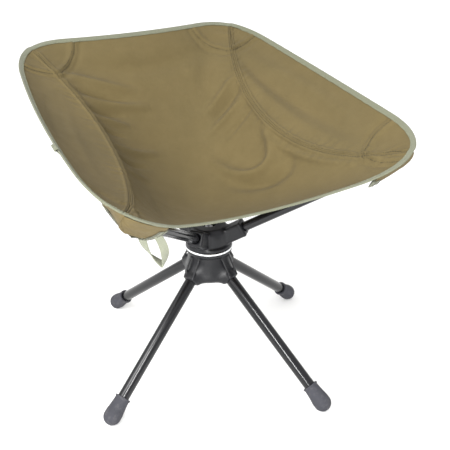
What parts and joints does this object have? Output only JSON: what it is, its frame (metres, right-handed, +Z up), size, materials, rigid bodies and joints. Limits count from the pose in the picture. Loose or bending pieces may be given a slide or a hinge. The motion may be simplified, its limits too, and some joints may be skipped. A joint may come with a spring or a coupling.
{
  "type": "swivel camp stool",
  "caption": "Compact swivel camp stool: a fabric sling on angled poles turns on a hub with splayed plug-in legs and rubber feet.",
  "frame": {"origin": "on the floor under the middle of the whole stool's box; the swivel axis stands 35 mm in front of it (towards -Y)", "axes": "+Z up, the sitter faces -Y, +X to the right of a viewer who faces the seat's front"},
  "size_m": [0.5239, 0.5431, 0.524],
  "materials": {
    "nylon": "moulded black glass-filled nylon, fine texture",
    "ring": "bright plated",
    "hardware": "zinc plated",
    "bush": "natural acetal",
    "tube": "black anodised aluminium tube, satin",
    "rubber": "moulded grey rubber",
    "cap": "moulded black nylon",
    "cord": "braided elastic cord",
    "ferrule": "mill finish",
    "canvas": "khaki oxford cloth, plain weave",
    "wing": "khaki oxford cloth, plain weave",
    "pocket": "khaki oxford cloth, coated side",
    "binding": "sage green woven binding tape",
    "webbing": "sage green webbing"
  },
  "bodies": {
    "base": {"lower_hub": "nylon", "swivel_ring": "ring", "swivel_bolt": "hardware", "swivel_nut": "hardware", "washer_top": "hardware", "washer_bottom": "hardware"},
    "leg_left": {"leg_tube_left": "tube", "foot_left": "rubber", "leg_plug_left": "cap", "leg_cord_left": "cord"},
    "leg_front": {"leg_tube_front": "tube", "foot_front": "rubber", "leg_plug_front": "cap", "leg_cord_front": "cord"},
    "leg_right": {"leg_tube_right": "tube", "foot_right": "rubber", "leg_plug_right": "cap", "leg_cord_right": "cord"},
    "leg_back": {"leg_tube_back": "tube", "foot_back": "rubber", "leg_plug_back": "cap", "leg_cord_back": "cord"},
    "seat": {"upper_hub": "nylon", "swivel_bush": "bush", "pole_front_left": "tube", "pole_tip_front_left": "cap", "pole_cord_front_left": "cord", "pole_front_right": "tube", "pole_tip_front_right": "cap", "pole_cord_front_right": "cord", "pole_lower_back_left": "tube", "pole_upper_back_left": "tube", "pole_ferrule_back_left": "ferrule", "pole_tip_back_left": "cap", "pole_cord_back_left": "cord", "pole_lower_back_right": "tube", "pole_upper_back_right": "tube", "pole_ferrule_back_right": "ferrule", "pole_tip_back_right": "cap", "pole_cord_back_right": "cord", "centre_panel": "canvas", "wing_left": "wing", "wing_right": "wing", "rim_binding": "binding", "side_tab": "webbing", "pocket_front_left": "pocket", "pocket_front_right": "pocket", "pocket_back_left": "pocket", "pocket_back_right": "pocket"},
    "pull_loop": {"pull_loop": "webbing"}
  },
  "joints": [
    {"name": "seat_swivel", "type": "hinge", "parent": "base", "child": "seat", "pos_m": [0, -0.035, 0.2247], "axis": [0, 0, 1], "continuous": true},
    {"name": "leg_left_pull", "type": "slide", "parent": "base", "child": "leg_left", "axis": [-0.7098, -0.2955, -0.6394], "range_m": [0, 0.032], "stiffness_N_per_m": 250, "springref_m": -0.02, "deforming": ["leg_cord_left"]},
    {"name": "leg_front_pull", "type": "slide", "parent": "base", "child": "leg_front", "axis": [0.2955, -0.7098, -0.6394], "range_m": [0, 0.032], "stiffness_N_per_m": 250, "springref_m": -0.02, "deforming": ["leg_cord_front"]},
    {"name": "leg_right_pull", "type": "slide", "parent": "base", "child": "leg_right", "axis": [0.7098, 0.2955, -0.6394], "range_m": [0, 0.032], "stiffness_N_per_m": 250, "springref_m": -0.02, "deforming": ["leg_cord_right"]},
    {"name": "leg_back_pull", "type": "slide", "parent": "base", "child": "leg_back", "axis": [-0.2955, 0.7098, -0.6394], "range_m": [0, 0.032], "stiffness_N_per_m": 250, "springref_m": -0.02, "deforming": ["leg_cord_back"]},
    {"name": "pull_loop_swing", "type": "hinge", "parent": "seat", "child": "pull_loop", "pos_m": [-0.183, -0.219, 0.362], "axis": [0.6383, -0.7356, 0.2267], "range_deg": [-25, 25]}
  ]
}
